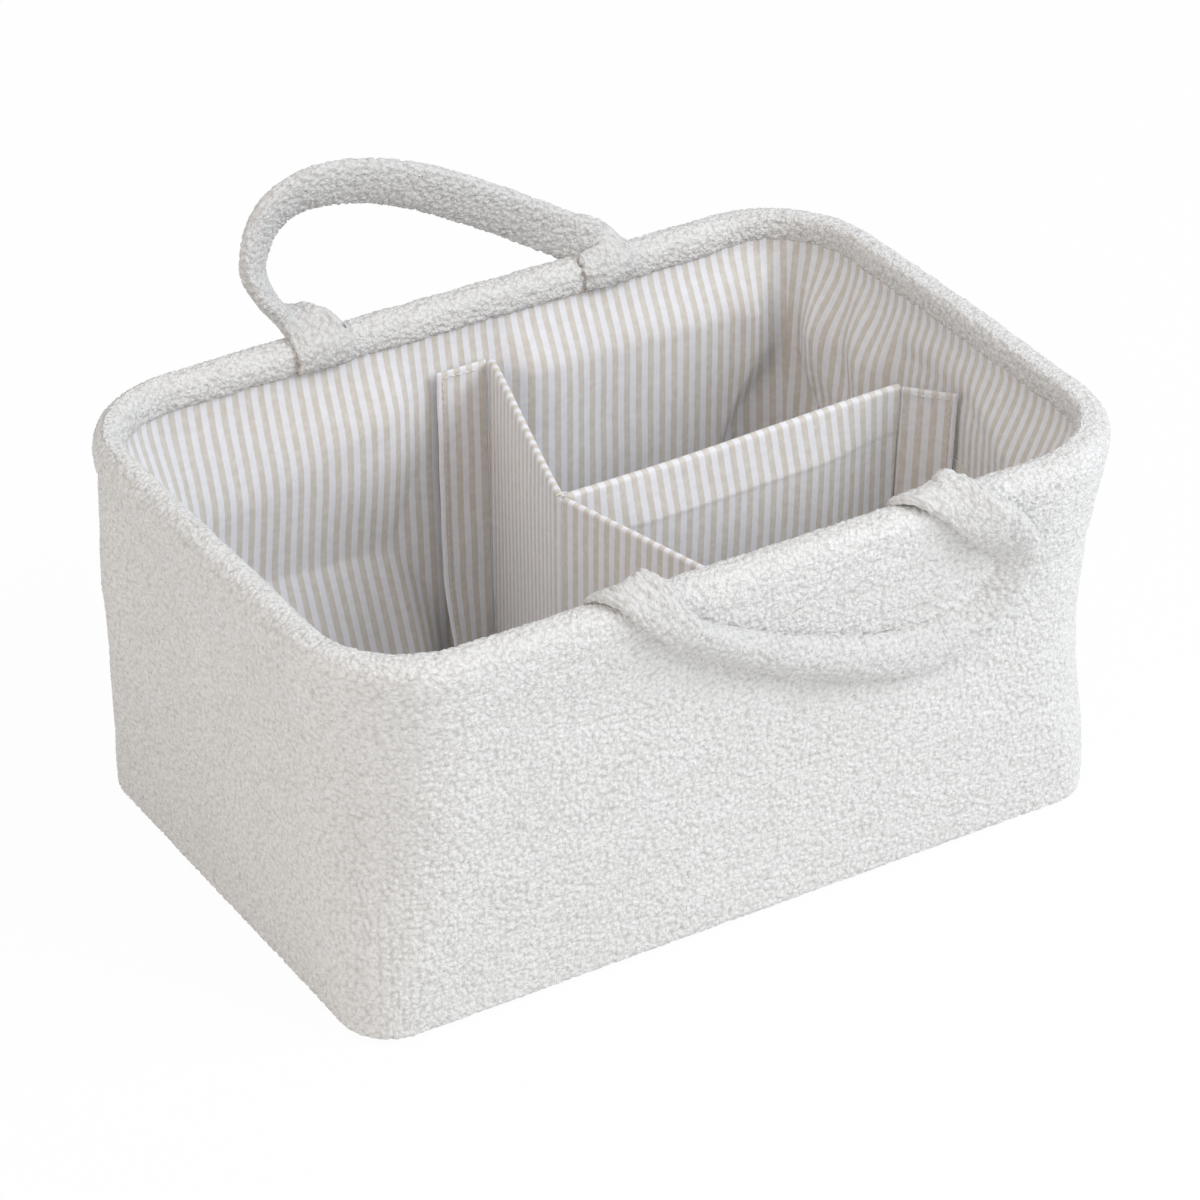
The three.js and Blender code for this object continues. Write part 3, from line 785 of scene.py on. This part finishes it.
# Each handle's route between its ends: along X, outwards and upwards from the wire, how far it is
# twisted out of the upright plane, and its thickness and width where it is pressed or bunched. At its
# first and last stops the strap still lies along the rim
back_route = [
    (-64.6, 1.6, 9.8, None), (-69.4, 6.4, 10.9, 55), (-76.4, 11.6, 15.8, 87), (-82.8, 14.4, 27, 68),
    (-85.4, 15.2, 41, 42), (-77.5, 15.8, 59, 24), (-60, 16, 67.2, 17), (-35, 16, 65.2, 14),
    (-6, 15.6, 55, 14), (22, 15, 40.2, 14), (47, 13.4, 25.2, 14), (63, 9.4, 15.8, 10), (72, 5, 12.2, 0),
    (76.6, 1.2, 10, None),
]
front_route = [
    (-63.5, 2.4, 11.8, None), (-59, 7.4, 9.2, None), (-52, 11, 0.6, 6, 8.6, 17.5),
    (-44, 10.4, -8.8, 20, 9.4, 15), (-33, 8.6, -17.2, 27, 11, 15), (-10, 6.2, -31, 27, 13, 17.5),
    (23, 4.1, -46.9, 24, 14.4, 21), (55, 2.6, -58.3, 13, 13.4), (82, 1.6, -61.6, -6, 10),
    (105, 1.2, -53, -17, 5.6), (116, 2.8, -37, -22, 5.2), (117, 6.4, -24, -25, 6.4),
    (109.5, 10.8, -12.5, -22), (97, 12.2, -0.6, -14), (86.5, 7.4, 8.8, None), (79.5, 2.4, 11.8, None),
]


def strap_stops(facing, route):
    """Stops of a whole strap: place, direction across its width, width and thickness."""

    def at(along, out, up):
        return np.array([along, facing * (wire_half[1] + out), wire_z + up])

    loop = [at(*stop[:3]) for stop in route]
    side = 1 if route[len(route) // 2][2] > 0 else -1
    stops = []
    for k, (place, stop) in enumerate(zip(loop, route)):
        heading = loop[min(k + 1, len(loop) - 1)] - loop[max(k - 1, 0)]
        heading = heading / np.linalg.norm(heading)
        in_plane = np.cross([0, 1, 0], heading)
        in_plane /= np.linalg.norm(in_plane)
        lying = np.array([side if k < len(route) / 2 else -side, 0, 0])
        if stop[3] is None:
            across = 0.75 * lying + 0.25 * in_plane
            size = (lip_width, lip_thickness)
        else:
            turn = math.radians(stop[3])
            across = in_plane * math.cos(turn) + np.cross(heading, in_plane) * math.sin(turn)
            own_size = stop[4:]
            thickness, width = own_size + (strap_thickness, strap_width)[len(own_size):]
            size = (width, thickness)
        stops.append([*place, *across, *size])
    ends = [[[*at(root, out, up), across, 0, 0, tab_width, tab_thickness] for out, up in tab_route]
            for root, across in ((left_root, side), (right_root, -side))]
    return ends[0] + stops + ends[1][::-1]


def strap_form(facing, route):
    """A whole strap as rings of points from end to end: the points, each ring's middle and its direction
    through the strap, and the marks."""
    line = flowing(strap_stops(facing, route), strap_step)
    centre, across, width, thickness = line[:, :3], line[:, 3:6], line[:, 6:7], line[:, 7:8]
    heading = np.gradient(centre, axis=0)
    heading /= np.linalg.norm(heading, axis=1, keepdims=True)
    across = across - heading * np.sum(across * heading, axis=1, keepdims=True)
    across /= np.linalg.norm(across, axis=1, keepdims=True)
    through = np.cross(heading, across)
    bend = np.arange(strap_sides) / strap_sides * 2 * math.pi
    round_power = np.interp(thickness, (strap_thickness, round_thickness), (0.8, 1.0))
    by_rim = np.abs(line[:, 2:3] - wire_z) < tab_reach
    power = np.where(by_rim, 0.62, round_power)

    def full(value):
        return np.sign(value) * np.abs(value) ** power

    ring = np.arange(len(line))
    closing = np.minimum(1, np.minimum(ring, ring[::-1]) / closing_rings)[:, None, None]
    points = (centre[:, None] + across[:, None] * (full(np.cos(bend)) * width / 2)[..., None] * closing
              + through[:, None] * (full(np.sin(bend)) * thickness / 2)[..., None] * closing)
    around = np.cumsum(np.linalg.norm(points - np.roll(points, 1, axis=1), axis=-1), axis=1)
    v = np.abs(around - around[:, :1] - around[:, -1:] / 2)
    u = ring[:, None] * strap_step + 0 * v
    pile = pile_height(u, v)
    normals = grid_normals(points, wrap_columns=True)
    normals *= np.sign(np.sum(normals * (points - centre[:, None])))
    points = points + normals * ((pile - strap_pile_middle) * curl_depth)[..., None]
    return points, centre, through, fleece_marks(pile, u, v)


def strap_piece(name, points, centre, marks, body, nodes):
    """A strap, or one stretch of it, from its rings of points."""
    faces = grid_quads(*points.shape[:2], wrap_columns=True)
    outwards = np.sum(grid_normals(points, wrap_columns=True) * (points - centre[:, None])) > 0
    piece = add_mesh(name, points, faces if outwards else faces[:, ::-1], marks)
    dress(piece, shaded_fleece, body, nodes)
    return piece


def standing_strap(side, facing, route, start, end):
    """A handle that stands up: one padded strap, sewn down over the rim, that bends above its ends. start
    and end are not used."""
    points, centre, _, marks = strap_form(facing, route)
    nodes = [f"{side}_{part}" for part in ("handle_cover", "handle_core", "left_tab", "right_tab")]
    piece = strap_piece(f"{side}_handle_strap", points, centre, marks, None, nodes)
    places = [(0, facing * (wire_half[1] + out) * METRE, (wire_z + up) * METRE)
              for out, up in (start, end)]
    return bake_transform(piece)


def hanging_strap(side, facing, route):
    """A handle that hangs: a padded strap that turns inside its two sewn ends, where each stretch is
    rounded off about the line that the handle swings on."""
    points, centre, through, marks = strap_form(facing, route)
    swing = joint_place(f"{side}_handle_swing")
    below = np.flatnonzero((facing * centre[:, 1] > wire_half[1]) & (centre[:, 2] < swing[2]))
    first, last = below[0], below[-1]
    rounding = 5
    ring = np.arange(len(centre))
    past_ends = {"left_tab": ring - first, "handle": np.maximum(first - ring, ring - last),
                 "right_tab": last - ring}
    for part, past in past_ends.items():
        own = past <= rounding
        fullness = np.sqrt(1 - (np.clip(past[own], 0, rounding) / rounding) ** 2)[:, None]
        depth = np.sum((points[own] - centre[own][:, None]) * through[own][:, None], axis=-1)
        rounded = points[own] - through[own][:, None] * (depth * (1 - fullness))[..., None]
        body = f"{side}_handle" if part == "handle" else "box"
        layers = ("_cover", "_core") if part == "handle" else ("",)
        nodes = [f"{side}_{part}{layer}" for layer in layers]
        own_marks = {mark: values[own] for mark, values in marks.items()}
        strap_piece(f"{side}_{part}_strap", rounded, centre[own], own_marks, body, nodes)


# Divider


def fold_line(joint):
    """The line that a flap folds about, as a function of height."""
    place = joint_place(joint)
    axis = np.array(joints[joint]["axis"])
    return lambda z: place + np.asarray(z - place[2])[..., None] * axis / axis[2]


def tipped(z):
    """How far up the tipped hem of a panel a point is, from 0 at its crease to 1."""
    return np.clip((z - panel_crease) / (divider_top - panel_crease), 0, 1)


def hem_rise(x, y, z):
    """How far the hems stand above or below their even height, at the back, the right and the spine."""
    rise = 5.5 * smoothstep(y, 15, 105) + 3 * smoothstep(x, 20, 150) - 1.5
    return rise * ((z - divider_foot) / (divider_top - divider_foot)) ** 3


def panel_frame(joint, side):
    """Directions along a panel and towards its flap, and the panel's length at a height."""
    line = fold_line(joint)
    far = line(np.array(divider_top))[:2] - spine
    bearing = math.atan2(far[1], far[0]) - side * math.asin(fold_offset / np.linalg.norm(far))
    along = np.array([math.cos(bearing), math.sin(bearing)])
    fold = side * np.array([-along[1], along[0]])
    return along, fold, lambda z: (line(z)[..., :2] - spine) @ along


def panel_slab(joint, side, forward, inset):
    """Points, faces and cloth places of a divider panel, drawn in by inset. forward is how far it
    stands out at the crease below its hem, towards its flap."""
    along, fold, length = panel_frame(joint, side)
    hem = 1.5
    panel_rows = 72
    hem_rows = 18
    top = divider_top - inset
    height = np.concatenate([np.linspace(divider_foot + inset, panel_crease - 0.5, panel_rows),
                             np.linspace(panel_crease + 0.3, top - hem, hem_rows)])
    bend = np.linspace(0, math.pi, 9)[1:-1]
    up = np.concatenate([height, top - hem + hem * np.sin(bend), height[::-1]])
    thick = np.concatenate([0 * height + 1, np.cos(bend), 0 * height - 1])
    columns = round(float(length(np.array(panel_crease))) / panel_step)
    t = np.linspace(0, 1, columns + 1)[:, None]
    z = up[None] + 0 * t
    start = 1.4 + inset
    s = start + t * (length(z) - 0.1 - inset - start)
    ends = np.minimum(smoothstep(t, 0, 0.012) * 0.6 + 0.4, smoothstep(1 - t, 0, 0.008) * 0.2 + 0.8)
    wobble = swell(np.stack([s, z * 0.5, 0 * s + 9], axis=-1), 34, 71)
    n = thick[None] * (panel_half - inset) * ends + 0.2 * wobble
    bulge = smoothstep(z, divider_foot, panel_crease) - tipped(z)
    n = n + forward * bulge * smoothstep(s, 4, 40) * (1 - smoothstep(t, 0.72, 1))
    if not inset:
        n = n + 0.05 * forward * thick[None] * (z > panel_crease)
        n = n + 0.75 * (thick[None] > 0) * smoothstep(t, 0.975, 1)
    flat = spine + s[..., None] * along + n[..., None] * fold
    raised = z + hem_rise(flat[..., 0], flat[..., 1], z)
    rows, ring = z.shape
    faces = grid_quads(rows, ring)
    half_ring = ring // 2
    caps = []
    for row in (0, rows - 1):
        first = row * ring + np.arange(half_ring - 1)
        other = row * ring + ring - 1 - np.arange(half_ring - 1)
        caps.append(np.stack([first, first + 1, other - 1, other], axis=-1))
    foot = np.arange(rows - 1) * ring
    sole = np.stack([foot, foot + ring - 1, foot + 2 * ring - 1, foot + ring], axis=-1)
    if side > 0:
        faces, caps, sole = faces[:, ::-1], [caps[0], caps[1][:, ::-1]], sole[:, ::-1]
    else:
        caps = [caps[0][:, ::-1], caps[1]]
    cloth = np.stack([s + (cloth_start + 0.4), z], axis=-1)
    return np.concatenate([flat, raised[..., None]], axis=-1), np.vstack([faces, *caps, sole]), cloth


def divider_panel(name, joint, side, body, forward):
    """A divider panel: a striped sleeve over its board."""
    points, faces, cloth = panel_slab(joint, side, forward, 0)
    sleeve = add_mesh(f"{name}_panel_sleeve", points, faces, {"cloth": cloth})
    dress(sleeve, ticking, body, [f"{name}_divider_cover"])
    points, faces, _ = panel_slab(joint, side, forward, sleeve_thickness)
    core = add_mesh(f"{name}_panel_board", points, faces)
    dress(core, board, body, [f"{name}_divider_board"])


def stitches(name, line, facing, body, pitch=3.4, length=2.3, radius=0.32, yarn=thread):
    """A row of thread stitches along a line of points, standing out towards facing."""
    step = 0.25
    sides = 6
    shares = (0, 0.15, 0.5, 0.85, 1)
    line = flowing(np.asarray(line, float), step)
    facing = np.asarray(facing, float) / np.linalg.norm(facing)
    per = round(pitch / step)
    reach = round(length / step)
    points, faces = [], []
    bend = np.arange(sides) / sides * 2 * math.pi
    for first in range(0, len(line) - reach, per):
        heading = line[first + reach] - line[first]
        heading /= np.linalg.norm(heading)
        sideways = np.cross(heading, facing)
        for share in shares:
            centre = line[first] + share * (line[first + reach] - line[first])
            girth = radius * (0.25 + 0.75 * math.sin(math.pi * min(max(share, 0.05), 0.95)) ** 0.5)
            lift = radius * (0.2 + 0.9 * math.sin(math.pi * share))
            ring = np.cos(bend)[:, None] * sideways + np.sin(bend)[:, None] * facing
            points.append(centre + lift * facing + girth * ring)
        base = len(points) - len(shares)
        for k in range(len(shares) - 1):
            faces.append(grid_quads(2, sides, wrap_columns=True) + sides * (base + k))
    piece = add_mesh(name, np.vstack(points), np.vstack(faces))
    return dress(piece, yarn, body)


def tab_stitching(side, facing, root):
    """The row of stitches down the edge of a strap's end, over the rim and on under a front lip. Their
    dark brown is partly the thread's own colour and partly painted shade along that edge.
    """
    edge = [(0, -7.6, -5.4), (0, -8.6, 0), (0, -7.0, 4.8), (0, -2.9, 7.6)]
    if facing < 0:
        edge += [(2.5, 1.4, 9.2), (5.5, 5, 7.6)]
    edge_x = root - tab_width / 2
    line = [(edge_x + along, facing * (wire_half[1] + out), wire_z + up) for along, out, up in edge]
    end = "left" if root < 0 else "right"
    name = f"{side}_{end}_tab_stitching"
    stitches(name, line, (-1, -facing, 0.6), "box", pitch=4.2, length=2.6, yarn=brown_thread)


def end_flap(name, joint, direction, body, facing, bend):
    """A hemmed flap of double cloth. facing is the side that shows, and bend how far its free lower
    edge stands off the wall."""
    line = fold_line(joint)
    rows, columns = 26, 100
    t, height = np.meshgrid(np.linspace(0, 1, rows), np.linspace(0, 1, columns), indexing="ij")
    z = divider_foot + height * (divider_top - divider_foot)
    direction = np.array([*direction, 0.0])
    facing = np.array([*facing, 0.0])
    middle = line(z) + (t * (flap_width + 0.4))[..., None] * direction
    edge = np.minimum(np.minimum(1 - t, 0.5) * flap_width, (1 - height) * (divider_top - divider_foot))
    hem = 1 - 0.45 * smoothstep(edge, 3.0, 4.6)
    off = bend * t ** 1.5 * smoothstep(60 - z, 4, 48) + 0.4 * swell(middle, 15, 81)
    half = cloth_half * hem * np.clip(edge / 0.7, 0.35, 1)
    middle[..., 2] += hem_rise(middle[..., 0], middle[..., 1], z)
    front = middle + (off + half)[..., None] * facing
    back = middle + (off - half)[..., None] * facing
    faces = grid_quads(rows, columns)
    total = rows * columns
    rim = np.concatenate([np.arange(columns), columns * np.arange(1, rows) + columns - 1,
                          total - 2 - np.arange(columns - 1), columns * np.arange(rows - 2, 0, -1)])
    beside = np.roll(rim, -1)
    sides = np.stack([rim, beside, beside + total, rim + total], axis=-1)
    faces = np.vstack([faces, faces[:, ::-1] + total, sides[:, ::-1]])
    if np.dot(np.cross([0, 0, 1], direction), facing) > 0:
        faces = faces[:, ::-1]
    across = np.stack([t * flap_width + (cloth_start + 2), z], axis=-1)
    piece = add_mesh(f"{name}_flap_cloth", np.vstack([front.reshape(-1, 3), back.reshape(-1, 3)]), faces,
                     {"cloth": np.vstack([across.reshape(-1, 2), across.reshape(-1, 2)])})
    dress(piece, ticking, body, [f"{name}_flap"])
    inner = rows - 4
    path = [front[inner, k] for k in range(2, columns - 3, 6)]
    path += [front[inner, columns - 3], front[inner - 8, columns - 3], front[3, columns - 3]]
    seam = stitches(f"{name}_flap_stitching", path, facing, body)
    for part in (piece, seam):
        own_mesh(part)


def spine_binding():
    """The rolled seam where the three panels meet, tacked at its top."""
    rings, around = 90, 20
    top = divider_top - 0.9
    z = np.linspace(divider_foot, top, rings)[:, None]
    bend = np.arange(around)[None] / around * 2 * math.pi
    closing = np.clip((top - z) / 1.2, 0.05, 1) ** 0.5
    radius = (2.0 + 0.25 * np.cos(3 * bend)) * closing
    x, y = spine[0] + radius * np.cos(bend), spine[1] + radius * np.sin(bend)
    points = np.stack([x, y, z + 0 * bend], axis=-1)
    cloth = np.stack([bend * 2 + 0 * z + cloth_start, z + 0 * bend], axis=-1)
    faces = grid_quads(rings, around, wrap_columns=True)
    piece = add_mesh("spine_binding", points, faces, {"cloth": cloth})
    dress(piece, ticking, "divider_spine", ["divider_seam"])
    top = top - 0.2
    for k, bearing in enumerate((75, 285, 0)):
        towards = np.array([math.cos(math.radians(bearing)), math.sin(math.radians(bearing)), 0])
        ends = [np.array([*spine, top]) + share * towards for share in (-2.4, 0, 3.6)]
        tack = f"spine_tack_{k + 1}"
        stitches(tack, ends, (0, 0, 1), "divider_spine", pitch=6.2, length=5.2, radius=0.55)
    return piece


# The scene


def add_floor():
    """A plain pale floor that shows white, with the object's shadow."""
    size = 8000
    corners = np.array([(-size, -size, 0), (size, -size, 0), (size, size, 0), (-size, size, 0)], float)
    floor = add_mesh("floor", corners, np.array([[0, 1, 2, 3]]))
    material = bpy.data.materials.new("pale_floor")
    material.use_nodes = True
    tree = material.node_tree
    shade = Shade(tree)
    lit = shade.add("ShaderNodeBsdfDiffuse", None, {"Color": colour(0.9, 0.9, 0.9)})
    white = shade.add("ShaderNodeEmission", None, {"Color": colour(1, 1, 1), "Strength": 1.0})
    white_share = shade.seen_directly() * floor_white
    mixed = shade.add("ShaderNodeMixShader", None, {0: white_share, 1: lit, 2: white})
    tree.links.new(mixed.socket, tree.nodes["Material Output"].inputs["Surface"])
    floor.data.materials.append(material)


def set_up(name, data, place, direction):
    """A lamp or a camera at place that looks along direction."""
    holder = bpy.data.objects.new(name, data)
    holder.location = place
    holder.rotation_mode = "QUATERNION"
    holder.rotation_quaternion = direction.to_track_quat("-Z", "Y")
    bpy.context.scene.collection.objects.link(holder)
    return holder


def add_lamp(name, place, size, power, tint):
    """A square lamp that shines on the caddy."""
    lamp = bpy.data.lights.new(name, "AREA")
    lamp.energy = power
    lamp.size = size
    lamp.color = tint
    set_up(name, lamp, place, Vector((0, 0, 0.1)) - Vector(place))


def add_light():
    world = bpy.data.worlds.new("studio")
    bpy.context.scene.world = world
    world.use_nodes = True
    shade = Shade(world.node_tree)
    background = world.node_tree.nodes["Background"]
    background.inputs["Color"].default_value = colour(0.97, 0.985, 1.0)
    strength = shade.seen_directly() * (1.0 - world_light) + world_light
    world.node_tree.links.new(strength.socket, background.inputs["Strength"])
    add_lamp("window", (1.2, -1.35, 1.65), 1.4, window_power, (0.93, 0.965, 1.0))
    add_lamp("warm_wall", (-1.8, -0.7, 1.45), 1.5, warm_wall_power, (1.0, 0.82, 0.66))


def add_camera():
    """The photograph's view."""
    azimuth, elevation, distance = math.radians(-31.5), math.radians(32.04), 2.0519
    target = Vector((0, 0, 0.089))
    back = Vector((math.sin(azimuth) * math.cos(elevation), -math.cos(azimuth) * math.cos(elevation),
                   math.sin(elevation)))
    lens = bpy.data.cameras.new("view")
    lens.sensor_width = 36
    lens.lens = 146.03
    lens.shift_x = 0.0008
    lens.shift_y = 0.0072
    bpy.context.scene.camera = set_up("view", lens, target + back * distance, -back)


add_camera()
add_light()
add_floor()
bpy.context.scene.view_settings.view_transform = "Standard"

for quarter in range(4):
    fleece_wall(quarter)
underside()
rim_roll()
lining_walls()
lining_floor()

standing_strap("back", 1, back_route, start=(-2, 10.5), end=(13, 29))
hanging_strap("front", -1, front_route)
for root in (left_root, right_root):
    tab_stitching("back", 1, root)
    tab_stitching("front", -1, root)

divider_panel("back", "back_flap_fold", 1, "divider_spine", 0.4)
divider_panel("front", "front_flap_fold", -1, "front_panel", 0.4)
divider_panel("long", "right_flap_fold", -1, "long_panel", 6.5)
end_flap("back", "back_flap_fold", (-1, 0), "back_end", (0, -1), 9)
end_flap("front", "front_flap_fold", (-1, 0), "front_end", (0, 1), 2)
right_direction = (math.cos(right_flap_turn), math.sin(right_flap_turn))
right_facing = (right_direction[1], -right_direction[0])
end_flap("right", "right_flap_fold", right_direction, "right_end", right_facing, 1)
spine_binding()

for node_name, node in frame["nodes"].items():
    plain = {"board": board, "wire": steel, "tape": tape}.get(node_name.split("_")[-1])
    if plain:
        node.data.materials.clear()
        node.data.materials.append(plain)
